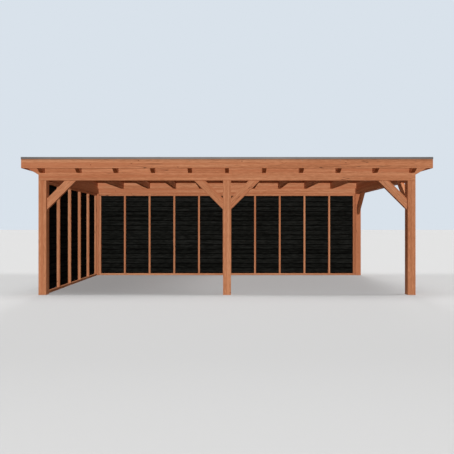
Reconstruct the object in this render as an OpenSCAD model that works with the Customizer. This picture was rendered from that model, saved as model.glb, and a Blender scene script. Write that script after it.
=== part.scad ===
// Open timber carport with a flat roof, boarded along its back and its left side
// X is the width, the open front faces -Y, and the ground is at Z = 0

/* [Frame] */
// Outer width over the posts
frame_w = 6920; // [5400:10:8400]
// Outer depth over the posts
frame_d = 3800; // [2800:10:5400]
// Height of the posts, up to the ring beams
post_h = 2100; // [1900:10:2600]
// Section of the posts, and width of the ring beams
post_w = 145; // [120:5:195]
// Width of the middle post at the back
back_middle_w = 128; // [95:1:195]
// Height of the ring beams
beam_h = 145; // [120:5:220]
// Length of the stopped lap that seats a side beam on its corner post
lap_l = 100; // [60:5:110]
// How far below the top of a beam the slanted cut of its horn starts
horn_drop = 37; // [15:1:60]

/* [Braces] */
// Length that a brace takes up along the post and along the beam
brace_leg = 530; // [400:10:800]
// Width of the face of a brace
brace_w = 145; // [95:5:195]
// Thickness of a brace
brace_t = 70; // [45:5:95]

/* [Rafters] */
// Number of rafters, an odd number
rafter_count = 11; // [7:2:15]
// Thickness of a rafter
rafter_w = 70; // [45:5:95]
// Height of a rafter
rafter_h = 145; // [120:5:220]
// Depth of the seats that let the rafters down over the beams
seat_d = 8; // [3:1:20]
// Distance of an end rafter from the outer face of its side beam
rafter_setback = 49; // [5:1:70]
// Level stretch of a rafter tail, outside the beam
tail_level = 87; // [40:1:130]
// Angle of the slanted cut under tails and horns, in degrees
tail_angle = 30; // [22:1:40]

/* [Roof] */
// Reach of the roof beyond the posts, to the outer face of the fascia
overhang = 225; // [190:5:300]
// Thickness of the roof deck
deck_t = 18; // [12:1:28]
// Thickness of the fascia boards
fascia_t = 28; // [18:1:35]
// Height of the fascia boards
fascia_h = 195; // [150:5:260]
// Thickness of the battens that raise the edge of the roof
upstand_t = 45; // [30:5:70]
// Height of these battens above the deck
upstand_h = 95; // [60:1:120]
// Thickness of the rubber roof membrane
membrane_t = 3; // [1:0.5:5]
// Thickness of the metal of the roof trim
trim_t = 2; // [1:0.5:4]
// Height of the face of the roof trim
trim_face_h = 35; // [25:1:60]
// Width of the roof trim on top of the edge
trim_top_w = 60; // [40:1:72]

/* [Walls] */
// Width of the studs
stud_w = 45; // [36:1:70]
// Depth of the studs and of the plates
stud_d = 60; // [45:5:95]
// Number of stud bays between two posts
stud_bays = 5; // [3:1:8]
// Height of the plates under and over the studs
plate_h = 45; // [36:1:70]
// Height of one board of the cladding that shows
board_pitch = 123; // [90:1:200]
// Thickness of a cladding board at its lower edge
board_t = 18; // [14:1:22]
// Thickness of a cladding board at its upper edge
board_tip = 11; // [9:1:13]
// How far a board reaches down over the board below
board_lap = 20; // [10:1:25]
// Height of the V joint between two boards, on the inner side
joint_h = 14; // [6:1:16]
// Gap between the ground and the cladding
ground_gap = 40; // [10:5:60]

/* [Hidden] */
side_names = ["front", "right", "back", "left"];

// Share of a ring beam's height that the tongue of a side beam takes
lap_share = 0.5;
// Share of a brace's width that its end takes up along a post or a beam, at 45 degrees
mitre_share = sqrt(2);
// Overrun of a cut past the face that it leaves by
overrun = 5;

timber = [0.70, 0.46, 0.32];
black_stain = [0.09, 0.09, 0.085];
rubber = [0.16, 0.16, 0.17];
bare_metal = [0.53, 0.52, 0.51];

half_w = frame_w / 2;
half_d = frame_d / 2;
beam_top = post_h + beam_h;
rafter_z = beam_top - seat_d;
rafter_top = rafter_z + rafter_h;
deck_top = rafter_top + deck_t;
lap_h = beam_h * lap_share;

roof_w = frame_w + 2 * overhang;
roof_d = frame_d + 2 * overhang;
tail_reach = overhang - fascia_t;
rim_z = deck_top + upstand_h;
fascia_z = rim_z - fascia_h;
edge_w = fascia_t + upstand_t;

rafter_pitch = (frame_w - 2 * rafter_setback - rafter_w) / (rafter_count - 1);
horn_run = horn_drop / tan(tail_angle);

back_span = (frame_w - 2 * post_w - back_middle_w) / 2;
left_span = frame_d - 2 * post_w;
stud_inset = (post_w - stud_d) / 2;
board_count = ceil((post_h - ground_gap) / board_pitch);

// Middle of a rafter across the carport, counted from the left
function rafter_x(i) = (i - (rafter_count + 1) / 2) * rafter_pitch;

// Lower edge of a cladding board, counted up from 0
function board_z(i) = ground_gap + i * board_pitch;

// Inner joint of a cladding board with the board below
function joint_z(i) = board_z(i) + board_lap;

// A post, by the middle of its foot
module post(x, y, w = post_w) {
    color(timber)
        translate([x - w / 2, y - post_w / 2, 0])
            cube([w, post_w, post_h]);
}

// Ring beam along the front (end = -1) or the back (end = 1), with a slanted horn at both ends
module long_ring_beam(end) {
    inner_y = end * (half_d - post_w);
    lap_y = inner_y + end * lap_l;
    color(timber)
        difference() {
            translate([0, end * (half_d - post_w / 2) + post_w / 2, 0])
                rotate([90, 0, 0])
                    linear_extrude(post_w)
                        polygon([
                            [-half_w, post_h],
                            [half_w, post_h],
                            [half_w, beam_top - horn_drop],
                            [half_w + horn_run, beam_top],
                            [-half_w - horn_run, beam_top],
                            [-half_w, beam_top - horn_drop]
                        ]);
            for (corner = [-1, 1])
                lap_housing(corner, inner_y, lap_y, end);
        }
}

// Housing for the tongue of a side beam, open below, inwards and at the end of the beam
module lap_housing(corner, inner_y, lap_y, end) {
    open_y = inner_y - end * overrun;
    x_in = half_w - post_w;
    translate([corner > 0 ? x_in : -half_w - overrun, min(open_y, lap_y), post_h - overrun])
        cube([post_w + overrun, lap_l + overrun, lap_h + overrun]);
}

// Ring beam along the left (corner = -1) or the right (corner = 1), its lower half let into the long beams
module side_ring_beam(corner) {
    inner_half = half_d - post_w;
    tongue_half = inner_half + lap_l;
    color(timber)
        translate([corner * (half_w - post_w / 2) - post_w / 2, 0, post_h])
            union() {
                translate([0, -inner_half, 0])
                    cube([post_w, 2 * inner_half, beam_h]);
                translate([0, -tongue_half, 0])
                    cube([post_w, 2 * tongue_half, lap_h]);
            }
}

// Face of a brace, from the corner of post and beam; dir is its way along the beam
module brace_face(dir) {
    upper_leg = brace_leg - brace_w * mitre_share;
    polygon([
        [0, -brace_leg],
        [dir * brace_leg, 0],
        [dir * upper_leg, 0],
        [0, -upper_leg]
    ]);
}

// Brace in the front, from the face of a post at x
module front_brace(x, dir) {
    color(timber)
        translate([x, -half_d + (post_w + brace_t) / 2, post_h])
            rotate([90, 0, 0])
                linear_extrude(brace_t)
                    brace_face(dir);
}

// Brace in the right side, from the face of a post at y
module right_brace(y, dir) {
    color(timber)
        translate([half_w - (post_w + brace_t) / 2, y, post_h])
            rotate([90, 0, 90])
                linear_extrude(brace_t)
                    brace_face(dir);
}

module front_middle_braces() {
    for (dir = [-1, 1])
        front_brace(dir * post_w / 2, dir);
}

module right_side_braces() {
    for (dir = [-1, 1])
        right_brace(-dir * (half_d - post_w), dir);
}

// Rafter let down over the beams, with a slanted cut under both tails
// The end rafters lie on the side beams
module rafter(i) {
    tail_end = half_d + tail_reach;
    cut_start = half_d + tail_level;
    tail_z = rafter_z + (tail_end - cut_start) * tan(tail_angle);
    inner_y = half_d - post_w;
    span_points = i == 1 || i == rafter_count ? [] : [
        [-inner_y, beam_top],
        [-inner_y, rafter_z],
        [inner_y, rafter_z],
        [inner_y, beam_top]
    ];
    color(timber)
        translate([rafter_x(i) - rafter_w / 2, 0, 0])
            rotate([90, 0, 90])
                linear_extrude(rafter_w)
                    polygon(concat(
                        [[-tail_end, tail_z], [-cut_start, rafter_z], [-half_d, rafter_z], [-half_d, beam_top]],
                        span_points,
                        [[half_d, beam_top], [half_d, rafter_z], [cut_start, rafter_z], [tail_end, tail_z]],
                        [[tail_end, rafter_top], [-tail_end, rafter_top]]
                    ));
}

// Blocks between the rafters over a long beam, and the outriggers that carry on its horns
module blocking(end) {
    y = end * (half_d - post_w / 2) - post_w / 2;
    color(timber) {
        for (i = [1:rafter_count - 1])
            translate([rafter_x(i) + rafter_w / 2, y, beam_top])
                cube([rafter_pitch - rafter_w, post_w, rafter_h - seat_d]);
        for (corner = [-1, 1])
            translate([0, y + post_w, 0])
                rotate([90, 0, 0])
                    linear_extrude(post_w)
                        outrigger_face(corner);
    }
}

// Side view of an outrigger, from the end rafter to the side fascia
module outrigger_face(corner) {
    inner_x = half_w - rafter_setback;
    cut_x = half_w + horn_run;
    outer_x = half_w + tail_reach;
    outer_z = beam_top + (outer_x - cut_x) * tan(tail_angle);
    polygon([
        [corner * inner_x, beam_top],
        [corner * cut_x, beam_top],
        [corner * outer_x, outer_z],
        [corner * outer_x, rafter_top],
        [corner * inner_x, rafter_top]
    ]);
}

// Slab centred on the carport
module centred_slab(w, d, z, h) {
    translate([-w / 2, -d / 2, z])
        cube([w, d, h]);
}

module roof_deck() {
    color(timber)
        centred_slab(roof_w - 2 * fascia_t, roof_d - 2 * fascia_t, rafter_top, deck_t);
}

// Length along one side of the roof, mitred at both ends, between two distances inside its outer face
module roof_edge(side, outer_in, inner_in, z, h) {
    along = side % 2 == 0 ? roof_w : roof_d;
    across = side % 2 == 0 ? roof_d : roof_w;
    rotate([0, 0, side * 90])
        translate([0, -across / 2, z])
            linear_extrude(h)
                polygon([
                    [-along / 2 + outer_in, outer_in],
                    [along / 2 - outer_in, outer_in],
                    [along / 2 - inner_in, inner_in],
                    [-along / 2 + inner_in, inner_in]
                ]);
}

module fascia(side) {
    color(timber)
        roof_edge(side, 0, fascia_t, fascia_z, fascia_h);
}

// Battens of two opposite sides that raise the edge of the roof
module upstands(first_side) {
    color(timber)
        for (side = [first_side, first_side + 2])
            roof_edge(side, fascia_t, edge_w, deck_top, upstand_h);
}

// Rubber sheet laid on the deck, turned up the battens and out over the edge
module roof_membrane() {
    tray_w = roof_w - 2 * edge_w;
    tray_d = roof_d - 2 * edge_w;
    sheet = 2 * membrane_t;
    color(rubber)
        difference() {
            union() {
                centred_slab(roof_w, roof_d, rim_z, membrane_t);
                centred_slab(tray_w, tray_d, deck_top, upstand_h + membrane_t);
            }
            centred_slab(tray_w - sheet, tray_d - sheet, deck_top + membrane_t, upstand_h + overrun);
        }
}

// Metal angle over the edge of the roof
module roof_trim(side) {
    top_z = rim_z + membrane_t;
    color(bare_metal)
        union() {
            roof_edge(side, -trim_t, trim_top_w, top_z, trim_t);
            roof_edge(side, -trim_t, 0, top_z + trim_t - trim_face_h, trim_face_h);
        }
}

// Places a wall piece in both halves of the back, with its outer side to +Y
module in_back_wall() {
    for (x = [-half_w + post_w, back_middle_w / 2])
        translate([x, half_d - post_w + stud_inset, 0])
            children();
}

// Places a wall piece in the left side, with its outer side to -X
module in_left_wall() {
    translate([-half_w + post_w - stud_inset, -half_d + post_w, 0])
        rotate([0, 0, 90])
            children();
}

module studs(span) {
    color(timber)
        for (i = [0:stud_bays])
            translate([i * (span - stud_w) / stud_bays, 0, plate_h])
                cube([stud_w, stud_d, post_h - 2 * plate_h]);
}

module plates(span) {
    color(timber)
        for (z = [0, post_h - plate_h])
            translate([0, 0, z])
                cube([span, stud_d, plate_h]);
}

// Tapered boards, each with its thick lower edge over the thin upper edge of the board below
module cladding(span) {
    outer_points = [
        for (i = [0:board_count - 1])
            let (top_z = min(board_z(i + 1), post_h))
                each [
                    [board_t, board_z(i)],
                    [board_t - (board_t - board_tip) * (top_z - board_z(i)) / board_pitch, top_z]
                ]
    ];
    inner_points = [
        for (i = [board_count - 1:-1:1])
            if (joint_z(i) + joint_h / 2 < post_h)
                each [
                    [0, joint_z(i) + joint_h / 2],
                    [joint_h / 2, joint_z(i)],
                    [0, joint_z(i) - joint_h / 2]
                ]
    ];
    open_rebate = [[0, joint_z(0)], [board_tip, joint_z(0)], [board_tip, ground_gap]];
    color(black_stain)
        translate([0, stud_d, 0])
            rotate([90, 0, 90])
                linear_extrude(span)
                    polygon(concat(outer_points, [[0, post_h]], inner_points, open_rebate));
}

post(-half_w + post_w / 2, -half_d + post_w / 2);  // front_left_post
post(0, -half_d + post_w / 2);  // front_middle_post
post(half_w - post_w / 2, -half_d + post_w / 2);  // front_right_post
post(-half_w + post_w / 2, half_d - post_w / 2);  // back_left_post
post(0, half_d - post_w / 2, back_middle_w);  // back_middle_post
post(half_w - post_w / 2, half_d - post_w / 2);  // back_right_post
long_ring_beam(-1);  // front_ring_beam
long_ring_beam(1);  // back_ring_beam
side_ring_beam(-1);  // left_ring_beam
side_ring_beam(1);  // right_ring_beam
front_brace(-half_w + post_w, 1);  // front_left_brace
front_middle_braces();
front_brace(half_w - post_w, -1);  // front_right_brace
right_side_braces();
for (i = [1:rafter_count])
    rafter(i);
blocking(-1);  // front_blocking
blocking(1);  // back_blocking
roof_deck();
upstands(0);  // long_upstands
upstands(1);  // side_upstands
roof_membrane();
for (side = [0:3]) {
    fascia(side);
    roof_trim(side);
}
in_back_wall() studs(back_span);  // back_wall_studs
in_back_wall() plates(back_span);  // back_wall_plates
in_back_wall() cladding(back_span);  // back_wall_cladding
in_left_wall() studs(left_span);  // left_wall_studs
in_left_wall() plates(left_span);  // left_wall_plates
in_left_wall() cladding(left_span);  // left_wall_cladding
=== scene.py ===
import math
import random

import bpy
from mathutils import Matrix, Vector


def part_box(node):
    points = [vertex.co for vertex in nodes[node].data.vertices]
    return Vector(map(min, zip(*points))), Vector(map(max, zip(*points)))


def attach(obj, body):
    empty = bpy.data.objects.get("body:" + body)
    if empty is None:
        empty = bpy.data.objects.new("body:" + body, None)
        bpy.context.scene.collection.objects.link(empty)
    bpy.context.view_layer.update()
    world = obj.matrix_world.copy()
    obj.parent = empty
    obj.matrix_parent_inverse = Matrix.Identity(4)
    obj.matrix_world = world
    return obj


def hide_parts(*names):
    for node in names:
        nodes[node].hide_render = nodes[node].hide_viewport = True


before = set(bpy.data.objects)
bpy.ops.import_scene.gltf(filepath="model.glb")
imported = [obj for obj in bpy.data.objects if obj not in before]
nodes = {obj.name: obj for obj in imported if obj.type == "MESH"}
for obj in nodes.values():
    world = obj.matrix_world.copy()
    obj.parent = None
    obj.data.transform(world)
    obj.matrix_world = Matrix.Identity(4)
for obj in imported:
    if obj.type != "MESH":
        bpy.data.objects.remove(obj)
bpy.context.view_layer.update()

dice = random.Random(5)
alongX, alongY, alongZ = (1, 0, 0), (0, 1, 0), (0, 0, 1)


# small helpers for modelling

def deselectAll():
    if bpy.context.object and bpy.context.object.mode != "OBJECT":
        bpy.ops.object.mode_set(mode="OBJECT")
    bpy.ops.object.select_all(action="DESELECT")


def selectOnly(piece):
    deselectAll()
    piece.select_set(True)
    bpy.context.view_layer.objects.active = piece


def near(first, second):
    return abs(first - second) < 1e-5


def middleOf(name):
    low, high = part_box(name)
    return (low + high) / 2


def startBlock(name, low, high):
    # a cube primitive at its size and place, left in edit mode
    deselectAll()
    low, high = Vector(low), Vector(high)
    bpy.ops.mesh.primitive_cube_add(size=1, location=(low + high) / 2, scale=high - low)
    block = bpy.context.object
    block.name = block.data.name = name
    bpy.ops.object.transform_apply(location=True, rotation=True, scale=True)
    bpy.ops.object.mode_set(mode="EDIT")
    return block


def pick(piece, kind, test):
    # in edit mode, keeps only the VERT, EDGE or FACE parts selected whose middle passes the test
    bpy.ops.mesh.select_mode(type=kind)
    bpy.ops.mesh.select_all(action="DESELECT")
    bpy.ops.object.mode_set(mode="OBJECT")
    points = piece.data.vertices
    if kind == "VERT":
        middles = [(part, part.co) for part in points]
    elif kind == "EDGE":
        middles = [(part, (points[part.vertices[0]].co + points[part.vertices[1]].co) / 2)
                   for part in piece.data.edges]
    else:
        middles = [(part, part.center) for part in piece.data.polygons]
    for part, middle in middles:
        part.select = test(middle)
    bpy.ops.object.mode_set(mode="EDIT")


def pushOut(way):
    bpy.ops.mesh.extrude_region_move(TRANSFORM_OT_translate={"value": way})


def shapeWith(piece, kind, **settings):
    # adds a modifier with these settings and applies it
    selectOnly(piece)
    modifier = piece.modifiers.new(kind.title(), kind)
    for setting, value in settings.items():
        setattr(modifier, setting, value)
    bpy.ops.object.modifier_apply(modifier=modifier.name)


def repeat(piece, count, step):
    shapeWith(piece, "ARRAY", count=count, use_relative_offset=False, use_constant_offset=True,
              constant_offset_displace=step)


def setDownAll(piece):
    # applies the piece's place, turn and size
    selectOnly(piece)
    bpy.ops.object.transform_apply(location=True, rotation=True, scale=True)


def setDown(piece, place, turn=0.0):
    # turns the piece about the upright axis through the origin, moves it and applies both
    piece.rotation_euler = (0, 0, math.radians(turn))
    piece.location = place
    setDownAll(piece)


def copyOf(piece, name):
    twin = piece.copy()
    twin.data = piece.data.copy()
    twin.name = twin.data.name = name
    bpy.context.collection.objects.link(twin)
    return twin


def joinParts(parts, name):
    deselectAll()
    for part in parts:
        part.select_set(True)
    bpy.context.view_layer.objects.active = parts[0]
    bpy.ops.object.join()
    whole = bpy.context.object
    whole.name = whole.data.name = name
    return whole


def paint(piece, material):
    piece.data.materials.clear()
    piece.data.materials.append(material)


def finishPiece(piece, material, standsFor=None):
    paint(piece, material)
    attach(piece, "root")
    if standsFor:
        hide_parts(standsFor)


# camera: level, in front of the middle post

cameraSetup = {
    "distance": 8.93,     # in front of the front posts
    "height": 1.2477,
    "lens": 38.6,
    "sensor": 36.0,
    "reach": 400.0,
}


def makeCamera():
    deselectAll()
    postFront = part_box("front_middle_post")[0].y
    bpy.ops.object.camera_add(
        location=(0, postFront - cameraSetup["distance"], cameraSetup["height"]),
        rotation=(math.radians(90), 0, 0))
    camera = bpy.context.object
    camera.name = "viewCamera"
    camera.data.lens = cameraSetup["lens"]
    camera.data.sensor_width = cameraSetup["sensor"]
    camera.data.clip_end = cameraSetup["reach"]
    bpy.context.scene.camera = camera


makeCamera()
print("camera placed")


# small helpers for materials

def srgb(red, green, blue):
    # screen values 0-255 to the linear colour that a shader socket wants
    def linear(value):
        value = value / 255
        return value / 12.92 if value <= 0.04045 else ((value + 0.055) / 1.055) ** 2.4
    return (linear(red), linear(green), linear(blue), 1.0)


def newMaterial(name, specular):
    material = bpy.data.materials.new(name)
    material.use_nodes = True
    tree = material.node_tree
    tree.nodes.clear()
    shader = tree.nodes.new("ShaderNodeBsdfPrincipled")
    shader.inputs["Specular IOR Level"].default_value = specular
    output = tree.nodes.new("ShaderNodeOutputMaterial")
    tree.links.new(shader.outputs["BSDF"], output.inputs["Surface"])
    return material, tree, shader


def feed(tree, socket, value):
    # a socket takes a link from another socket, or a plain value
    if isinstance(value, bpy.types.NodeSocket):
        tree.links.new(value, socket)
    elif value is not None:
        socket.default_value = value


def math1(tree, operation, first, second=None, third=None):
    node = tree.nodes.new("ShaderNodeMath")
    node.operation = operation
    for socket, value in zip(node.inputs, (first, second, third)):
        feed(tree, socket, value)
    return node.outputs[0]


def math3(tree, operation, first, second=None):
    node = tree.nodes.new("ShaderNodeVectorMath")
    node.operation = operation
    feed(tree, node.inputs[0], first)
    feed(tree, node.inputs[1], second)
    return node.outputs["Value" if operation in ("LENGTH", "DOT_PRODUCT") else "Vector"]


def split(tree, vector):
    node = tree.nodes.new("ShaderNodeSeparateXYZ")
    feed(tree, node.inputs[0], vector)
    return list(node.outputs)


def bundle(tree, x, y, z):
    node = tree.nodes.new("ShaderNodeCombineXYZ")
    for socket, value in zip(node.inputs, (x, y, z)):
        feed(tree, socket, value)
    return node.outputs[0]


def chanceOf(tree, seed):
    # a chance number and a chance colour for each seed
    node = tree.nodes.new("ShaderNodeTexWhiteNoise")
    node.noise_dimensions = "1D"
    feed(tree, node.inputs["W"], seed)
    return node.outputs["Value"], node.outputs["Color"]


def noise(tree, place, cells, detail=2.0, roughness=0.5, colour=False):
    # noise whose grains are drawn out: cells per metre along x, y and z
    node = tree.nodes.new("ShaderNodeTexNoise")
    feed(tree, node.inputs["Vector"], math3(tree, "MULTIPLY", place, cells))
    node.inputs["Scale"].default_value = 1.0
    node.inputs["Detail"].default_value = detail
    node.inputs["Roughness"].default_value = roughness
    return node.outputs["Color" if colour else "Fac"]


def ease(tree, value, start, end):
    # smooth step of value, 0 at start and 1 at end
    node = tree.nodes.new("ShaderNodeMapRange")
    node.interpolation_type = "SMOOTHSTEP"
    for socket, given in zip(node.inputs, (value, start, end)):
        feed(tree, socket, given)
    return node.outputs[0]


def sway(tree, tone, value, weight):
    # moves a tone by how far a value between 0 and 1 lies from its middle
    return math1(tree, "MULTIPLY_ADD", math1(tree, "SUBTRACT", value, 0.5), weight, tone)


def grainLayers(tree, place, layers, tone):
    # layers of noise drawn out along x, and the tone that they make together
    made = {}
    for name, (along, across, detail, roughness, weight) in layers.items():
        made[name] = noise(tree, place, (along, across, across), detail, roughness)
        tone = sway(tree, tone, made[name], weight)
    return made, tone


def rowCount(tree, value, start, pitch):
    # rows from the start: the whole part is the row, the rest the place in it
    return math1(tree, "DIVIDE", math1(tree, "SUBTRACT", value, start), pitch)


def mix(tree, factor, first, second, blend="MIX"):
    node = tree.nodes.new("ShaderNodeMix")
    node.data_type = "RGBA"
    node.blend_type = blend
    for index, value in ((0, factor), (6, first), (7, second)):
        feed(tree, node.inputs[index], value)
    return node.outputs[2]


def cover(tree, colour, where, share, tone):
    # lays a share of another colour over this one
    return mix(tree, math1(tree, "MULTIPLY", where, share), colour, srgb(*tone))


def tones(tree, value, stops):
    node = tree.nodes.new("ShaderNodeValToRGB")
    ramp = node.color_ramp
    while len(ramp.elements) < len(stops):
        ramp.elements.new(0.5)
    for element, (place, colour) in zip(ramp.elements, stops):
        element.position = place
        element.color = srgb(*colour)
    feed(tree, node.inputs[0], value)
    return node.outputs[0]


def relief(tree, shader, height, depth):
    node = tree.nodes.new("ShaderNodeBump")
    node.inputs["Strength"].default_value = 1.0
    node.inputs["Distance"].default_value = depth
    feed(tree, node.inputs["Height"], height)
    tree.links.new(node.outputs["Normal"], shader.inputs["Normal"])


def objectPlace(tree):
    return tree.nodes.new("ShaderNodeTexCoord").outputs["Object"]


def facing(tree):
    return tree.nodes.new("ShaderNodeNewGeometry").outputs["Normal"]


# Douglas fir: growth rings round a pith, streaks, flecks, knots, drying checks and dark end grain

douglas = {
    "specular": 0.08,
    "seeds": 90.0,             # every piece draws its wood from this range
    "twinStep": 3.37,          # seed from a piece to its mirror twin
    "rowStep": 7.13,           # seed from a piece of a row to the next
    "shift": (31.0, 17.0, 23.0),
    "ringGap": 0.0058,
    "pithSpread": 0.24,        # the pith lies anywhere in this square round the middle of the piece
    "waver": 0.016,
    "waverCells": (0.9, 5.0, 5.0),
    "lateCurve": 2.4,          # a higher one makes a thinner dark line in each ring
    "lateEnd": (1.0, 0.93),    # pairs like this one: where a change starts and where it is full
    "tone": 0.20,
    "lateTone": 0.42,
    "pieceTone": 0.08,         # from piece to piece
    # cells per metre along and across the grain, detail, roughness, weight on the tone
    "layers": {
        "streak": (0.35, 22.0, 4.0, 0.6, -1.1),
        "fleck": (9.0, 80.0, 3.0, 0.6, 1.1),
        "broad": (0.4, 7.0, 2.0, 0.5, 0.42),
        "fibre": (9.0, 520.0, 2.0, 0.5, 0.22),
    },
    "tones": [(0.0, (206, 147, 109)), (0.36, (181, 121, 85)), (1.0, (135, 80, 50))],
    "blush": (1.0, 0.93, 0.88, 1.0),
    "blushShare": 0.5,
    "blushEdge": (0.42, 0.62),
    "heart": (178, 109, 74),   # redder bands of heartwood
    "heartShare": 0.55,
    "heartCells": (0.12, 15.0, 15.0),
    "heartEdge": (0.47, 0.62),
    "knotCells": 7.0,          # per metre
    "knotChance": 0.62,        # for a cell to hold a knot
    "knotRadius": 0.035,       # the least, in cells
    "knotGrowth": 0.055,       # what chance adds to it
    "knotSwell": 0.012,        # how far a knot pushes the rings aside
    "knot": (116, 62, 36),
    "knotShare": 0.8,
    "knotEdge": (1.05, 0.85),  # this and the next two in radii of the knot
    "swellEdge": (4.0, 0.8),
    "rimEdge": (0.55, 0.95),
    "rim": (84, 43, 24),
    "rimShare": 0.7,
    "check": (58, 32, 20),
    "checkShare": 0.75,
    "checkCells": (0.7, 13.0, 13.0),
    "checkEdge": (0.011, 0.002),
    "patchCells": (0.5, 3.0, 3.0),
    "patchEdge": (0.60, 0.68),
    "endGrain": (0.78, 0.70, 0.64, 1.0),
    "endGrainEdge": (0.55, 0.9),
    "trimShadow": (0.66, 0.67, 0.70, 1.0),    # painted shadow of the trim on the top of a fascia board
    "trimShadowDepth": 0.050,
    "roughness": 0.60,
    "fibreRoughness": 0.22,
    "lateRoughness": -0.10,
    "lateRelief": 0.45,
    "fibreRelief": 0.35,
    "knotRelief": 0.25,
    "relief": 0.0009,
}


def woodKnots(tree, roam):
    # the knots, their dark rims, and how far they swell the wood round them
    cells = tree.nodes.new("ShaderNodeTexVoronoi")
    cells.inputs["Scale"].default_value = douglas["knotCells"]
    feed(tree, cells.inputs["Vector"], roam)
    sizeLot, lot, _ = split(tree, cells.outputs["Color"])
    present = math1(tree, "LESS_THAN", lot, douglas["knotChance"])
    radius = math1(tree, "MULTIPLY_ADD", sizeLot, douglas["knotGrowth"], douglas["knotRadius"])
    reach = math1(tree, "DIVIDE", cells.outputs["Distance"], radius)
    knot = math1(tree, "MULTIPLY", ease(tree, reach, *douglas["knotEdge"]), present)
    rim = math1(tree, "MULTIPLY", ease(tree, reach, *douglas["rimEdge"]), knot)
    swell = math1(tree, "MULTIPLY", ease(tree, reach, *douglas["swellEdge"]), present)
    return knot, rim, swell


def lateWood(tree, place, roam, lots, swell):
    # rings round a pith that wavers, each darkest just before it ends
    acrossOnly = (0.0, 1.0, 1.0)
    middle = (0.5, 0.5, 0.5)
    waver = math3(tree, "SUBTRACT", noise(tree, roam, douglas["waverCells"], colour=True), middle)
    waver = math3(tree, "MULTIPLY", waver, (0.0, douglas["waver"], douglas["waver"]))
    pith = math3(tree, "SUBTRACT", lots, middle)
    pith = math3(tree, "MULTIPLY", pith, (0.0, douglas["pithSpread"], douglas["pithSpread"]))
    cross = math3(tree, "SUBTRACT", math3(tree, "ADD", place, waver), pith)
    radius = math3(tree, "LENGTH", math3(tree, "MULTIPLY", cross, acrossOnly))
    radius = math1(tree, "MULTIPLY_ADD", swell, douglas["knotSwell"], radius)
    year = math1(tree, "FRACT", math1(tree, "DIVIDE", radius, douglas["ringGap"]))
    return math1(tree, "MULTIPLY", math1(tree, "POWER", year, douglas["lateCurve"]),
                 ease(tree, year, *douglas["lateEnd"]))


def dryingChecks(tree, roam):
    # hairlines along the grain, here and there
    line = sway(tree, 0.0, noise(tree, roam, douglas["checkCells"], 1.0), 1.0)
    crack = ease(tree, math1(tree, "ABSOLUTE", line), *douglas["checkEdge"])
    patch = ease(tree, noise(tree, roam, douglas["patchCells"], 0.0), *douglas["patchEdge"])
    return math1(tree, "MULTIPLY", crack, patch)


def makeDouglasGroup():
    # grain place: metres, x along the grain; grain normal: the same turn of the face's normal
    group = bpy.data.node_groups.new("douglasGrain", "ShaderNodeTree")
    for name, way, kind in (("Grain Place", "INPUT", "Vector"), ("Grain Normal", "INPUT", "Vector"),
                            ("Seed", "INPUT", "Float"), ("Colour", "OUTPUT", "Color"),
                            ("Roughness", "OUTPUT", "Float"), ("Relief", "OUTPUT", "Float")):
        group.interface.new_socket(name, in_out=way, socket_type="NodeSocket" + kind)
    given = group.nodes.new("NodeGroupInput").outputs
    made = group.nodes.new("NodeGroupOutput").inputs
    place = given["Grain Place"]
    lots = chanceOf(group, given["Seed"])[1]
    roam = math3(group, "ADD", place, math3(group, "MULTIPLY", lots, douglas["shift"]))

    knot, rim, swell = woodKnots(group, roam)
    late = lateWood(group, place, roam, lots, swell)
    tone = math1(group, "MULTIPLY_ADD", late, douglas["lateTone"], douglas["tone"])
    layers, tone = grainLayers(group, roam, douglas["layers"], tone)
    tone = sway(group, tone, split(group, lots)[2], douglas["pieceTone"])
    colour = tones(group, tone, douglas["tones"])
    blush = ease(group, layers["broad"], *douglas["blushEdge"])
    blush = math1(group, "MULTIPLY", blush, douglas["blushShare"])
    colour = mix(group, blush, colour, douglas["blush"], "MULTIPLY")
    heart = ease(group, noise(group, roam, douglas["heartCells"], 1.0), *douglas["heartEdge"])
    check = dryingChecks(group, roam)
    for name, where in (("heart", heart), ("knot", knot), ("rim", rim), ("check", check)):
        colour = cover(group, colour, where, douglas[name + "Share"], douglas[name])
    along = math1(group, "ABSOLUTE", split(group, given["Grain Normal"])[0])
    cut = ease(group, along, *douglas["endGrainEdge"])
    colour = mix(group, cut, colour, douglas["endGrain"], "MULTIPLY")
    feed(group, made["Colour"], colour)

    rough = math1(group, "MULTIPLY_ADD", layers["fibre"], douglas["fibreRoughness"],
                  douglas["roughness"])
    rough = math1(group, "MULTIPLY_ADD", late, douglas["lateRoughness"], rough)
    feed(group, made["Roughness"], rough)
    height = math1(group, "MULTIPLY", layers["fibre"], douglas["fibreRelief"])
    height = math1(group, "MULTIPLY_ADD", late, douglas["lateRelief"], height)
    height = math1(group, "MULTIPLY_ADD", knot, douglas["knotRelief"], height)
    feed(group, made["Relief"], math1(group, "SUBTRACT", height, check))
    return group


douglasGroup = makeDouglasGroup()
print("wood grain mixed")


def grainTurn(grain):
    # turn that lays the grain along x
    return Vector(grain).normalized().rotation_difference(Vector(alongX))


def turned(tree, vector, turn, centre=(0, 0, 0)):
    # the vector about the centre, turned into the grain
    node = tree.nodes.new("ShaderNodeMapping")
    node.vector_type = "POINT"
    node.inputs["Rotation"].default_value = turn.to_euler()
    node.inputs["Location"].default_value = -(turn @ Vector(centre))
    tree.links.new(vector, node.inputs["Vector"])
    return node.outputs[0]


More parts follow.
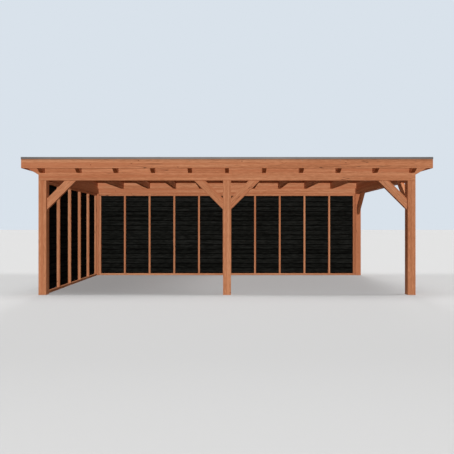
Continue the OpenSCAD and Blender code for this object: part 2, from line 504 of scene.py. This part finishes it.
def dressInDouglas(tree, shader, place, normal, seed, shade=None):
    # shade: where painted shade darkens the wood, and the tint that it takes there
    grain = tree.nodes.new("ShaderNodeGroup")
    grain.node_tree = douglasGroup
    feed(tree, grain.inputs["Grain Place"], place)
    feed(tree, grain.inputs["Grain Normal"], normal)
    feed(tree, grain.inputs["Seed"], seed)
    colour = grain.outputs["Colour"]
    if shade:
        where, tint = shade
        colour = mix(tree, where, colour, tint, "MULTIPLY")
    tree.links.new(colour, shader.inputs["Base Color"])
    tree.links.new(grain.outputs["Roughness"], shader.inputs["Roughness"])
    relief(tree, shader, grain.outputs["Relief"], douglas["relief"])


def timberFinish(name, grain, centre, fold=None, cells=None):
    # fold is the axis that mirrors a pair of pieces onto one
    # cells (axis, start, pitch) give each piece of a row its own wood
    material, tree, shader = newMaterial("douglas_" + name, douglas["specular"])
    axes = split(tree, objectPlace(tree))
    shade = None
    # painted shadow: the top of a fascia board darkens towards the foot of the trim, as if in the
    # trim's shadow
    if name.endswith("_fascia"):
        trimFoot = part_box("front_roof_trim")[0].z
        shade = (ease(tree, axes[2], trimFoot - douglas["trimShadowDepth"], trimFoot), douglas["trimShadow"])
    centre = list(centre)
    seed = dice.uniform(0, douglas["seeds"])
    if fold is not None:
        side = math1(tree, "SIGN", axes[fold])
        seed = math1(tree, "MULTIPLY_ADD", side, douglas["twinStep"], seed)
        axes[fold] = math1(tree, "ABSOLUTE", axes[fold])
    if cells:
        axis, start, pitch = cells
        count = rowCount(tree, axes[axis], start, pitch)
        seed = math1(tree, "MULTIPLY_ADD", math1(tree, "FLOOR", count), douglas["rowStep"], seed)
        axes[axis] = math1(tree, "MULTIPLY_ADD", math1(tree, "FRACT", count), pitch, -pitch / 2)
        centre[axis] = 0
    turn = grainTurn(grain)
    place = turned(tree, bundle(tree, *axes), turn, centre)
    slanted = sum(abs(value) > 0 for value in grain) > 1
    normal = None if slanted else turned(tree, facing(tree), turn)
    dressInDouglas(tree, shader, place, normal, seed, shade)
    return material


# every timber piece: grain, and eased arrises

easing = {
    "width": 0.003,
    "segments": 2,
    "angle": 30.0,        # edges sharper than this are eased
    "weld": 0.0001,
    "flat": 1.0,          # faces that differ by less than this many degrees become one
}

wallFrame = {
    "studWidth": 0.045,
    "plateHeight": 0.045,
    "bays": 5,            # between the studs of one panel
}

rafterNames = ["rafter_%d" % count for count in range(1, 12)]
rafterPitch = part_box("rafter_2")[0].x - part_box("rafter_1")[0].x
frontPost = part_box("front_middle_post")
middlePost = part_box("back_middle_post")
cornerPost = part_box("back_left_post")
postHeight = frontPost[1].z
backSpan = middlePost[0].x - cornerPost[1].x
leftSpan = cornerPost[0].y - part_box("front_left_post")[1].y
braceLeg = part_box("front_left_brace")[1].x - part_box("front_left_brace")[0].x


def studPitch(span):
    return (span - wallFrame["studWidth"]) / wallFrame["bays"]


def studCells(axis, start, span):
    return (axis, start + wallFrame["studWidth"] / 2 - studPitch(span) / 2, studPitch(span))


def dressTimber():
    grains = {}
    for side in ("front", "back"):
        for place in ("left", "middle", "right"):
            grains[side + "_" + place + "_post"] = alongZ
    grains.update({name: alongY for name in rafterNames})
    for side, grain in (("front", alongX), ("back", alongX), ("left", alongY), ("right", alongY)):
        grains[side + "_ring_beam"] = grains[side + "_fascia"] = grain
    grains.update({"long_upstands": alongX, "side_upstands": alongY,
                   "front_left_brace": (1, 0, 1), "front_right_brace": (-1, 0, 1)})
    finishes = {name: timberFinish(name, grain, middleOf(name)) for name, grain in grains.items()}

    # pieces of one node that lie in a row or mirror each other
    def finishRow(name, grain, **rows):
        finishes[name] = timberFinish(name, grain, middleOf(name), **rows)

    blockCells = (0, -rafterPitch * (len(rafterNames) + 1) / 2, rafterPitch)
    finishRow("front_blocking", alongX, cells=blockCells)
    finishRow("back_blocking", alongX, cells=blockCells)
    brace = middleOf("front_middle_braces")
    brace.x = frontPost[1].x + braceLeg / 2
    finishes["front_middle_braces"] = timberFinish("front_middle_braces", (1, 0, 1), brace, fold=0)
    brace = middleOf("right_side_braces")
    brace.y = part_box("right_side_braces")[1].y - braceLeg / 2
    finishes["right_side_braces"] = timberFinish("right_side_braces", (0, -1, 1), brace, fold=1)
    finishRow("back_wall_studs", alongZ, fold=0, cells=studCells(0, middlePost[1].x, backSpan))
    finishRow("left_wall_studs", alongZ, cells=studCells(1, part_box("left_wall_studs")[0].y, leftSpan))
    plateStep = postHeight - wallFrame["plateHeight"]
    plateCells = (2, wallFrame["plateHeight"] / 2 - plateStep / 2, plateStep)
    finishRow("back_wall_plates", alongX, fold=0, cells=plateCells)
    finishRow("left_wall_plates", alongY, cells=plateCells)

    for name, finish in finishes.items():
        node = nodes[name]
        paint(node, finish)
        weld = node.modifiers.new("weld", "WELD")
        weld.merge_threshold = easing["weld"]
        flat = node.modifiers.new("flatFaces", "DECIMATE")
        flat.decimate_type = "DISSOLVE"
        flat.angle_limit = math.radians(easing["flat"])
        arris = node.modifiers.new("easedArris", "BEVEL")
        arris.width = easing["width"]
        arris.segments = easing["segments"]
        arris.limit_method = "ANGLE"
        arris.angle_limit = math.radians(easing["angle"])
    return len(finishes)


print("timber dressed:", dressTimber(), "nodes")


# black stained cladding: rebated boards, tapered outside, open V joints inside

cladding = {
    "pitch": 0.123,         # height of a board that shows
    "tip": 0.011,           # thickness at the upper edge
    "lap": 0.020,           # how far a lip reaches over the board below
    "gap": 0.002,           # room over the tip in the rebate
    "rebateRoom": 0.001,
    "lipRound": 0.004,
    "joint": 0.007,         # chamfer on the inner edges
    # cells per metre along and across the grain, detail, roughness, weight on the tone
    "layers": {
        "streak": (1.6, 60.0, 4.0, 0.6, 0.9),
        "fibre": (14.0, 600.0, 2.0, 0.5, 0.4),
        "blotch": (5.0, 14.0, 3.0, 0.5, 0.4),
        "fleck": (8.0, 110.0, 2.0, 0.5, 1.1),
    },
    "tone": 0.5,
    "boardTone": 0.14,      # from board to board
    "boardShift": (11.0, 0.0, 0.0),
    "tones": [(0.25, (11, 11, 10)), (0.5, (22, 23, 21)), (0.75, (37, 38, 36))],
    # painted shadow and dirt in the joints and under each lip
    "shadowAndDirtTone": (4, 4, 4),
    "lipShadowShare": 0.75,     # painted shadow: how dark a board is under the lip of the one above
    "lipShadowEdge": (0.87, 0.97),
    "tiltShadeEdge": (0.2, 0.5),
    "roughness": 0.55,
    "streakRoughness": 0.3,
    "streakRelief": 0.6,
    "fibreRelief": 0.4,
    "relief": 0.0012,
}


def blackStain(name, grain, inward, bottom):
    # inside, the boards show higher than outside by the depth of their laps
    material, tree, shader = newMaterial(name, 0.0)
    place, normal = objectPlace(tree), facing(tree)
    inside = math1(tree, "GREATER_THAN", math3(tree, "DOT_PRODUCT", normal, inward), 0.5)
    height = math1(tree, "MULTIPLY_ADD", inside, -cladding["lap"], split(tree, place)[2])
    count = rowCount(tree, height, bottom, cladding["pitch"])
    boardLot, boardLots = chanceOf(tree, math1(tree, "FLOOR", count))
    roam = math3(tree, "ADD", turned(tree, place, grainTurn(grain)),
                 math3(tree, "MULTIPLY", boardLots, cladding["boardShift"]))
    layers, tone = grainLayers(tree, roam, cladding["layers"], cladding["tone"])
    colour = tones(tree, sway(tree, tone, boardLot, cladding["boardTone"]), cladding["tones"])

    # painted shadow and dirt: each board darkens in a band at its top, under the lip of the board above
    # (inside, at the V joints), and the chamfers and lip rounds, which tilt up or down, take the same
    # dark tone
    underLipShadow = ease(tree, math1(tree, "FRACT", count), *cladding["lipShadowEdge"])
    shade = math1(tree, "MULTIPLY", underLipShadow, cladding["lipShadowShare"])
    tilt = math1(tree, "ABSOLUTE", split(tree, normal)[2])
    shade = math1(tree, "MAXIMUM", shade, ease(tree, tilt, *cladding["tiltShadeEdge"]))
    colour = mix(tree, shade, colour, srgb(*cladding["shadowAndDirtTone"]))
    tree.links.new(colour, shader.inputs["Base Color"])
    rough = math1(tree, "MULTIPLY_ADD", layers["streak"], cladding["streakRoughness"],
                  cladding["roughness"])
    feed(tree, shader.inputs["Roughness"], rough)
    height = math1(tree, "MULTIPLY", layers["fibre"], cladding["fibreRelief"])
    height = math1(tree, "MULTIPLY_ADD", layers["streak"], cladding["streakRelief"], height)
    relief(tree, shader, height, cladding["relief"])
    return material


def makeBoard(name, length, thick):
    # inner face on y = 0, lower edge of the lip on z = 0
    lap, tip, pitch = cladding["lap"], cladding["tip"], cladding["pitch"]
    top = pitch + lap - cladding["gap"]
    lipInside = tip + cladding["rebateRoom"]
    board = startBlock(name, (0, 0, lap), (length, thick, top))
    pick(board, "VERT", lambda spot: spot.y > thick / 2 and spot.z > pitch / 2)
    bpy.ops.transform.translate(value=(0, tip - thick, 0))
    pick(board, "FACE", lambda spot: near(spot.z, lap))
    bpy.ops.mesh.bisect(plane_co=(0, lipInside, 0), plane_no=alongY)
    pick(board, "FACE", lambda spot: near(spot.z, lap) and spot.y > lipInside)
    pushOut((0, 0, -lap))
    pick(board, "EDGE", lambda spot: near(spot.y, thick) and near(spot.z, 0))
    bpy.ops.mesh.bevel(offset=cladding["lipRound"], segments=3, affect="EDGES")
    pick(board, "EDGE", lambda spot: near(spot.y, 0) and (near(spot.z, lap) or near(spot.z, top)))
    bpy.ops.mesh.bevel(offset=cladding["joint"], segments=1, affect="EDGES")
    bpy.ops.object.mode_set(mode="OBJECT")
    return board


def boardRows():
    low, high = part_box("back_wall_cladding")
    return math.ceil((high.z - low.z) / cladding["pitch"])


def boardWall(board, place, turn):
    # rows up the wall, the top one cut off under the ring beam
    repeat(board, boardRows(), (0, 0, cladding["pitch"]))
    setDown(board, place, turn)
    bpy.ops.object.mode_set(mode="EDIT")
    bpy.ops.mesh.select_all(action="SELECT")
    bpy.ops.mesh.bisect(plane_co=(0, 0, postHeight), plane_no=alongZ, clear_outer=True, use_fill=True)
    bpy.ops.object.mode_set(mode="OBJECT")


def makeCladding():
    low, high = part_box("back_wall_cladding")
    thick = high.y - low.y
    leftPanel = makeBoard("back_wall_boards", backSpan, thick)
    rightPanel = copyOf(leftPanel, "backWallRight")
    boardWall(leftPanel, (low.x, low.y, low.z), 0)
    boardWall(rightPanel, (high.x - backSpan, low.y, low.z), 0)
    backBoards = joinParts([leftPanel, rightPanel], "back_wall_boards")
    backStain = blackStain("blackStainBack", alongX, (0, -1, 0), low.z)
    finishPiece(backBoards, backStain, "back_wall_cladding")

    low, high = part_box("left_wall_cladding")
    leftBoards = makeBoard("left_wall_boards", leftSpan, thick)
    boardWall(leftBoards, (high.x, low.y, low.z), 90)
    leftStain = blackStain("blackStainLeft", alongY, (1, 0, 0), low.z)
    finishPiece(leftBoards, leftStain, "left_wall_cladding")


makeCladding()
print("cladding boarded")


# roof boarding: tongued boards across the rafters, V joints below, butt joints on the rafters

roofBoards = {
    "rows": 35,
    "veeJoint": 0.004,
    "tongue": 0.006,
    "buttGap": 0.001,
    "firstJoint": 3,        # rafters that may carry a butt joint
    "lastJoint": 9,
    # painted shade on the V-joint chamfers
    "veeShadeTint": (0.10, 0.09, 0.08, 1.0),
    "jointEdge": (0.2, 0.6),
}


def roofBoardWidth():
    low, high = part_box("roof_deck")
    return (high.y - low.y) / roofBoards["rows"]


def makeRoofBoard(thick):
    # a metre of board, its tongue towards +y
    width = roofBoardWidth()
    board = startBlock("roofBoard", (0, 0, 0), (1, width, thick))
    pick(board, "FACE", lambda spot: near(spot.y, width))
    for height in (thick / 3, thick * 2 / 3):
        bpy.ops.mesh.bisect(plane_co=(0, 0, height), plane_no=alongZ)
        pick(board, "FACE", lambda spot: near(spot.y, width))
    pick(board, "FACE", lambda spot: near(spot.y, width) and near(spot.z, thick / 2))
    pushOut((0, roofBoards["tongue"], 0))
    pick(board, "EDGE", lambda spot: near(spot.z, 0) and (near(spot.y, 0) or near(spot.y, width)))
    bpy.ops.mesh.bevel(offset=roofBoards["veeJoint"], segments=1, affect="EDGES")
    bpy.ops.object.mode_set(mode="OBJECT")
    return board


def planeOffTongue(board, edge):
    # the last board of the roof ends flush
    tongue = roofBoards["tongue"]
    bpy.ops.object.mode_set(mode="EDIT")
    pick(board, "VERT", lambda spot: spot.y > edge + tongue / 2)
    bpy.ops.transform.translate(value=(0, -tongue, 0))
    bpy.ops.mesh.select_all(action="SELECT")
    bpy.ops.mesh.remove_doubles(threshold=tongue / 10)
    bpy.ops.object.mode_set(mode="OBJECT")


def roofBoardFinish():
    # each board keeps its own wood in the attribute boardSeed
    low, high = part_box("roof_deck")
    width = roofBoardWidth()
    material, tree, shader = newMaterial("douglasRoofBoards", douglas["specular"])
    seed = tree.nodes.new("ShaderNodeAttribute")
    seed.attribute_name = "boardSeed"
    axes = split(tree, objectPlace(tree))
    inBoard = math1(tree, "FRACT", rowCount(tree, axes[1], low.y, width))
    axes[1] = math1(tree, "MULTIPLY_ADD", inBoard, width, -width / 2)
    place = math3(tree, "SUBTRACT", bundle(tree, *axes), (0, 0, (low.z + high.z) / 2))
    normal = facing(tree)
    # painted shade: faces that tilt to the front or the back, the V-joint chamfers, take a dark tint
    slope = math1(tree, "ABSOLUTE", split(tree, normal)[1])
    joint = (ease(tree, slope, *roofBoards["jointEdge"]), roofBoards["veeShadeTint"])
    dressInDouglas(tree, shader, place, normal, seed.outputs["Fac"], joint)
    return material


def makeRoofBoards():
    low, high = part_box("roof_deck")
    width = roofBoardWidth()
    first = makeRoofBoard(high.z - low.z)
    boards = []
    joint = roofBoards["firstJoint"]
    choices = range(roofBoards["firstJoint"], roofBoards["lastJoint"] + 1)
    for row in range(roofBoards["rows"]):
        joint = dice.choice([choice for choice in choices if abs(choice - joint) > 1])
        middle = middleOf("rafter_%d" % joint).x
        for start, end in ((low.x, middle - roofBoards["buttGap"]), (middle, high.x)):
            board = copyOf(first, "roofBoardCopy")
            board.scale.x = end - start
            setDown(board, (start, low.y + row * width, low.z))
            if row == roofBoards["rows"] - 1:
                planeOffTongue(board, high.y)
            seeds = board.data.attributes.new("boardSeed", "FLOAT", "POINT")
            seed = dice.uniform(0, douglas["seeds"])
            seeds.data.foreach_set("value", [seed] * len(board.data.vertices))
            boards.append(board)
    bpy.data.objects.remove(first)
    finishPiece(joinParts(boards, "roof_boarding"), roofBoardFinish(), "roof_deck")


makeRoofBoards()
print("roof boarded")


# rubber membrane, with its spare rubber folded in the corners

membrane = {
    "specular": 0.25,
    "dustCells": (1.3, 1.3, 1.3),
    "speckCells": (220.0, 220.0, 220.0),
    "wrinkleCells": (2.0, 3.0, 3.0),
    "tones": [(0.25, (42, 42, 44)), (0.55, (51, 51, 53)), (0.85, (64, 63, 63))],
    "speckTone": 0.3,
    "joint": -0.12,         # tone and height over a joint of the boards
    "jointEdge": (0.42, 0.5),
    "levelEdge": (0.7, 0.95),
    "roughness": 0.5,
    "dustRoughness": 0.3,
    "speckRelief": 0.05,
    "relief": 0.006,
}

cornerFolds = {
    "edge": 0.076,          # from the outer edge of the sheet to the inner face of its upturn
    "sheet": 0.0015,
    "leg": 0.090,
    "taper": 0.8,           # share of its height that a fold loses along its leg
    "drop": 0.012,          # the lower tip of a fold stays this far above the deck
    "rimGap": 0.004,
}


def rubberSheet():
    # matt rubber, a little dusty, with the roof boards below just showing through
    material, tree, shader = newMaterial("rubberMembrane", membrane["specular"])
    place = objectPlace(tree)
    dust = noise(tree, place, membrane["dustCells"], 5.0, 0.6)
    speck = noise(tree, place, membrane["speckCells"])
    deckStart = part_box("roof_deck")[0].y
    inBoard = math1(tree, "FRACT", rowCount(tree, split(tree, place)[1], deckStart, roofBoardWidth()))
    offMiddle = math1(tree, "ABSOLUTE", math1(tree, "SUBTRACT", inBoard, 0.5))
    level = ease(tree, split(tree, facing(tree))[2], *membrane["levelEdge"])
    joint = math1(tree, "MULTIPLY", ease(tree, offMiddle, *membrane["jointEdge"]), level)
    tone = sway(tree, dust, speck, membrane["speckTone"])
    tone = math1(tree, "MULTIPLY_ADD", joint, membrane["joint"], tone)
    tree.links.new(tones(tree, tone, membrane["tones"]), shader.inputs["Base Color"])
    rough = math1(tree, "MULTIPLY_ADD", dust, membrane["dustRoughness"], membrane["roughness"])
    feed(tree, shader.inputs["Roughness"], rough)
    wrinkle = noise(tree, place, membrane["wrinkleCells"], 1.0)
    height = math1(tree, "MULTIPLY_ADD", speck, membrane["speckRelief"], wrinkle)
    height = math1(tree, "MULTIPLY_ADD", joint, membrane["joint"], height)
    relief(tree, shader, height, membrane["relief"])
    return material


def makeCornerFolds(rubber):
    # in each corner of the tray the spare rubber is folded flat against the short side
    low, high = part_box("roof_membrane")
    sheet, leg, edge = cornerFolds["sheet"], cornerFolds["leg"], cornerFolds["edge"]
    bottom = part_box("roof_deck")[1].z + cornerFolds["drop"]
    top = high.z - cornerFolds["rimGap"]
    fold = startBlock("cornerFold", (0, 0, bottom), (sheet, leg, top))
    pick(fold, "VERT", lambda spot: near(spot.y, leg) and near(spot.z, bottom))
    bpy.ops.transform.translate(value=(0, 0, (top - bottom) * cornerFolds["taper"]))
    pick(fold, "EDGE", lambda spot: near(spot.x, sheet))
    bpy.ops.mesh.bevel(offset=sheet / 3, segments=2, affect="EDGES")
    bpy.ops.object.mode_set(mode="OBJECT")
    setDown(fold, (low.x + edge, low.y + edge, 0))
    parts = [fold]
    for axis in (0, 1):
        for part in list(parts):
            twin = copyOf(part, "cornerFoldCopy")
            twin.scale[axis] = -1
            setDownAll(twin)
            bpy.ops.object.mode_set(mode="EDIT")
            bpy.ops.mesh.select_all(action="SELECT")
            bpy.ops.mesh.normals_make_consistent(inside=False)
            bpy.ops.object.mode_set(mode="OBJECT")
            parts.append(twin)
    finishPiece(joinParts(parts, "membrane_corner_folds"), rubber)


rubber = rubberSheet()
paint(nodes["roof_membrane"], rubber)
makeCornerFolds(rubber)
print("membrane laid")


# metal trim: caps on the corners, sleeves over the joints

rolledMetal = {
    "lineCells": (3.0, 3.0, 900.0),
    "stainCells": (4.0, 4.0, 20.0),
    "stainTone": 0.93,
    "stainEdge": (0.35, 0.7),
    "lineRoughness": 0.10,
    "stainRoughness": 0.16,
    "relief": 0.0001,
}

trimCovers = {
    "tint": (105, 100, 97),
    "roughness": 0.5,
    "sheet": 0.0008,
    "cornerLeg": 0.12,
    "sleeve": 0.06,
    "topWidth": 0.058,
    "faceDrop": 0.036,
    "round": 0.000375,
    "roundAngle": 60.0,     # folds sharper than this are rounded
    "longJoints": 2,        # sleeves along the front and the back
    "sideJoints": 1,
}


def millMetal(name, tint, roughness):
    # bare rolled metal: fine drawing lines along the length, faint stains
    material, tree, shader = newMaterial(name, 0.5)
    shader.inputs["Metallic"].default_value = 1.0
    place = objectPlace(tree)
    lines = noise(tree, place, rolledMetal["lineCells"])
    stain = noise(tree, place, rolledMetal["stainCells"], 4.0, 0.6)
    stained = [value * rolledMetal["stainTone"] for value in tint]
    clean = ease(tree, stain, *rolledMetal["stainEdge"])
    colour = mix(tree, clean, srgb(*stained), srgb(*tint))
    tree.links.new(colour, shader.inputs["Base Color"])
    rough = sway(tree, roughness, lines, rolledMetal["lineRoughness"])
    rough = sway(tree, rough, stain, rolledMetal["stainRoughness"])
    feed(tree, shader.inputs["Roughness"], rough)
    relief(tree, shader, lines, rolledMetal["relief"])
    return material


def foldedCover(name, length, cornered):
    # a folded sheet over the edge: the face looks to -y, the end cap of a corner to -x
    width, drop = trimCovers["topWidth"], trimCovers["faceDrop"]
    depth = length if cornered else width
    sheet = startBlock(name, (0, 0, -drop), (length, depth, 0))
    pick(sheet, "FACE", lambda spot: near(spot.z, -drop) or near(spot.y, depth)
         or near(spot.x, length) or (near(spot.x, 0) and not cornered))
    bpy.ops.mesh.delete(type="FACE")
    if cornered:
        # the inner quarter of the top is cut away, so that the cap follows the trim round the corner
        for way in (alongX, alongY):
            pick(sheet, "FACE", lambda spot: near(spot.z, 0))
            bpy.ops.mesh.bisect(plane_co=(width, width, 0), plane_no=way)
        pick(sheet, "FACE", lambda spot: near(spot.z, 0) and min(spot.x, spot.y) > width)
        bpy.ops.mesh.delete(type="FACE")
    bpy.ops.object.mode_set(mode="OBJECT")
    shapeWith(sheet, "SOLIDIFY", thickness=trimCovers["sheet"], offset=1.0, use_even_offset=True)
    shapeWith(sheet, "BEVEL", width=trimCovers["round"], segments=1, limit_method="ANGLE",
              angle_limit=math.radians(trimCovers["roundAngle"]))
    return sheet


def makeTrimCovers(metal):
    left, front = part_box("left_roof_trim")[0].x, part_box("front_roof_trim")[0].y
    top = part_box("front_roof_trim")[1].z
    parts = []
    corner = foldedCover("trimCorner", trimCovers["cornerLeg"], True)
    for quarter, (x, y) in enumerate(((left, front), (-left, front), (-left, -front), (left, -front))):
        cap = copyOf(corner, "trimCornerCopy")
        setDown(cap, (x, y, top), 90 * quarter)
        parts.append(cap)
    sleeve = foldedCover("trimSleeve", trimCovers["sleeve"], False)
    longSide = (left, front, trimCovers["longJoints"])
    shortSide = (front, left, trimCovers["sideJoints"])
    for quarter, (start, face, count) in enumerate((longSide, shortSide, longSide, shortSide)):
        for joint in range(1, count + 1):
            middle = start - joint * 2 * start / (count + 1)
            piece = copyOf(sleeve, "trimSleeveCopy")
            setDown(piece, (middle - trimCovers["sleeve"] / 2, face, top))
            setDown(piece, (0, 0, 0), 90 * quarter)
            parts.append(piece)
    bpy.data.objects.remove(corner)
    bpy.data.objects.remove(sleeve)
    finishPiece(joinParts(parts, "trim_corners_and_sleeves"), metal)


trimMetal = millMetal("bareTrimMetal", trimCovers["tint"], trimCovers["roughness"])
for side in ("front", "right", "back", "left"):
    paint(nodes[side + "_roof_trim"], trimMetal)
makeTrimCovers(trimMetal)
print("trim joined")


# screws: fascia, braces and cladding

screws = {
    "tint": (108, 103, 99),
    "roughness": 0.45,
    "radius": 0.0045,
    "head": 0.0016,
    "sides": 10,
    "recess": 0.42,         # share of the radius inside the rim
    "recessDepth": 0.6,     # share of the head's height
    "rimDrop": 0.4,
    "sunk": 0.0004,
    "boardHeights": (0.036, 0.080),
    "fasciaHeights": (0.032, 0.136),
    "sideFasciaCount": 7,
    "sideFasciaReach": 1.83,
    "braceInset": 0.055,    # from both ends of a brace, measured level
    "braceSpread": 0.017,
    "braceTip": -135.0,     # lays a screw square to a brace's lower face
}


def makeScrew(name):
    # head looks to +y, its seat on y = 0
    deselectAll()
    radius, head = screws["radius"], screws["head"]
    bpy.ops.mesh.primitive_cylinder_add(vertices=screws["sides"], radius=radius, depth=head,
                                        location=(0, head / 2, 0), rotation=(math.radians(-90), 0, 0))
    screw = bpy.context.object
    screw.name = screw.data.name = name
    bpy.ops.object.transform_apply(location=True, rotation=True, scale=True)
    bpy.ops.object.mode_set(mode="EDIT")
    pick(screw, "FACE", lambda spot: near(spot.y, head))
    bpy.ops.mesh.inset(thickness=radius * screws["recess"])
    pushOut((0, -head * screws["recessDepth"], 0))
    pick(screw, "VERT", lambda spot: near(spot.y, head) and near(math.hypot(spot.x, spot.z), radius))
    bpy.ops.transform.translate(value=(0, -head * screws["rimDrop"], 0))
    bpy.ops.object.mode_set(mode="OBJECT")
    return screw


def claddingScrews(screw, span, thick, place, turn):
    # two to each board on each stud, laid on the taper
    pair = []
    lap, pitch = cladding["lap"], cladding["pitch"]
    top = pitch + lap - cladding["gap"]
    for height in screws["boardHeights"]:
        face = thick + (cladding["tip"] - thick) * (height - lap) / (top - lap)
        twin = copyOf(screw, "screwCopy")
        setDown(twin, (wallFrame["studWidth"] / 2, face - screws["sunk"], height))
        pair.append(twin)
    panel = joinParts(pair, "screwPair")
    repeat(panel, boardRows(), (0, 0, pitch))
    repeat(panel, wallFrame["bays"] + 1, (studPitch(span), 0, 0))
    setDown(panel, place, turn)
    return panel


def braceScrews(screw):
    # two near both ends of each brace; the set is laid out for a brace that leaves its post
    # towards -y, with the corner of post and beam at the origin
    tipped = copyOf(screw, "screwTipped")
    tipped.rotation_euler = (math.radians(screws["braceTip"]), 0, 0)
    setDownAll(tipped)
    four = []
    for reach in (screws["braceInset"], braceLeg - screws["braceInset"]):
        for side in (-screws["braceSpread"], screws["braceSpread"]):
            twin = copyOf(tipped, "screwCopy")
            setDown(twin, (side, -reach, reach - braceLeg))
            four.append(twin)
    bpy.data.objects.remove(tipped)
    pattern = joinParts(four, "braceScrews")

    # the turn of each brace, and the corner that it leaves from
    leftPost, rightPost, backPost = (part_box(place + "_post") for place in
                                     ("front_left", "front_right", "back_right"))
    frontY, sideX = middleOf("front_left_post").y, middleOf("front_right_post").x
    corners = ((90, leftPost[1].x, frontY), (-90, frontPost[0].x, frontY),
               (90, frontPost[1].x, frontY), (-90, rightPost[0].x, frontY),
               (180, sideX, rightPost[1].y), (0, sideX, backPost[0].y))
    sets = []
    for turn, x, y in corners:
        four = copyOf(pattern, "braceScrewsCopy")
        setDown(four, (x, y, postHeight), turn)
        sets.append(four)
    bpy.data.objects.remove(pattern)
    return sets


def fasciaScrews(screw):
    # at each rafter on the long sides, evenly spaced on the short ones
    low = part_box("front_fascia")[0]
    count, reach = screws["sideFasciaCount"], screws["sideFasciaReach"]
    longRow = (middleOf("rafter_1").x, rafterPitch, len(rafterNames), -low.y)
    shortRow = (-reach, 2 * reach / (count - 1), count, -low.x)
    sides = ((0, longRow), (180, longRow), (90, shortRow), (270, shortRow))
    rows = []
    for height in screws["fasciaHeights"]:
        for turn, (start, step, heads, face) in sides:
            row = copyOf(screw, "screwRow")
            repeat(row, heads, (step, 0, 0))
            setDown(row, (start, face - screws["sunk"], low.z + height))
            setDown(row, (0, 0, 0), turn)
            rows.append(row)
    return rows


def makeScrews():
    screw = makeScrew("screwHead")
    low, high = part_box("back_wall_cladding")
    thick = high.y - low.y
    parts = [claddingScrews(screw, backSpan, thick, (low.x, low.y, low.z), 0),
             claddingScrews(screw, backSpan, thick, (high.x - backSpan, low.y, low.z), 0)]
    low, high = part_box("left_wall_cladding")
    parts.append(claddingScrews(screw, leftSpan, thick, (high.x, low.y, low.z), 90))
    parts += braceScrews(screw) + fasciaScrews(screw)
    bpy.data.objects.remove(screw)
    steel = millMetal("screwSteel", screws["tint"], screws["roughness"])
    finishPiece(joinParts(parts, "screw_heads"), steel)


makeScrews()
print("screws driven")


# studio: pale floor, frontal key from above, soft top light, pale surroundings

studio = {
    "floorSize": 400.0,
    "floorTone": (176, 176, 176),
    "floorBounce": (0.120, 0.058, 0.030, 1.0),
    "floorRoughness": 0.9,
    "backTone": (217, 226, 235),
    "ambient": 0.10,
    # name: (shines towards, strength, spread in degrees, casts shadows)
    "lamps": {
        "frontKey": ((0, 0.80, -0.60), 3.05, 10, False),
        "topLight": ((0, 0.05, -1), 0.9, 40, True),
        "backLight": ((0, -0.94, -0.34), 2.4, 25, True),
        "leftLight": ((0.91, 0, -0.41), 2.0, 10, True),
        "rightLight": ((-0.91, 0, -0.41), 2.0, 10, True),
        "leftFill": ((1, 0, -0.1), 0.32, 20, False),
        "rightFill": ((-1, 0, -0.1), 0.32, 20, False),
    },
}


def seenDirectly(tree):
    # 1 for what the camera, a mirror or glass shows, 0 for light on the object
    path = tree.nodes.new("ShaderNodeLightPath").outputs
    seen = math1(tree, "MAXIMUM", path["Is Camera Ray"], path["Is Glossy Ray"])
    return math1(tree, "MAXIMUM", seen, path["Is Transmission Ray"])


def makeFloor():
    deselectAll()
    bpy.ops.mesh.primitive_plane_add(size=studio["floorSize"])
    floor = bpy.context.object
    floor.name = "studioFloor"
    material, tree, shader = newMaterial("paleFloor", 0.0)
    shader.inputs["Roughness"].default_value = studio["floorRoughness"]
    tone = mix(tree, seenDirectly(tree), studio["floorBounce"], srgb(*studio["floorTone"]))
    tree.links.new(tone, shader.inputs["Base Color"])
    floor.data.materials.append(material)


def makeWorld():
    world = bpy.data.worlds.new("studioWorld")
    bpy.context.scene.world = world
    world.use_nodes = True
    tree = world.node_tree
    tree.nodes.clear()
    seen = tree.nodes.new("ShaderNodeBackground")
    seen.inputs["Color"].default_value = srgb(*studio["backTone"])
    fill = tree.nodes.new("ShaderNodeBackground")
    fill.inputs["Color"].default_value = (1, 1, 1, 1)
    fill.inputs["Strength"].default_value = studio["ambient"]
    both = tree.nodes.new("ShaderNodeMixShader")
    output = tree.nodes.new("ShaderNodeOutputWorld")
    feed(tree, both.inputs["Fac"], seenDirectly(tree))
    tree.links.new(fill.outputs["Background"], both.inputs[1])
    tree.links.new(seen.outputs["Background"], both.inputs[2])
    tree.links.new(both.outputs["Shader"], output.inputs["Surface"])


def makeSun(name, towards, strength, spread, shadows):
    # a soft lamp without falloff, shining along towards
    bpy.ops.object.light_add(type="SUN", rotation=Vector(towards).to_track_quat("-Z", "Y").to_euler())
    lamp = bpy.context.object
    lamp.name = name
    lamp.data.energy = strength
    lamp.data.angle = math.radians(spread)
    lamp.data.use_shadow = shadows


makeFloor()
makeWorld()
for name, lampSetup in studio["lamps"].items():
    makeSun(name, *lampSetup)
bpy.context.scene.view_settings.view_transform = "Standard"
print("studio ready")
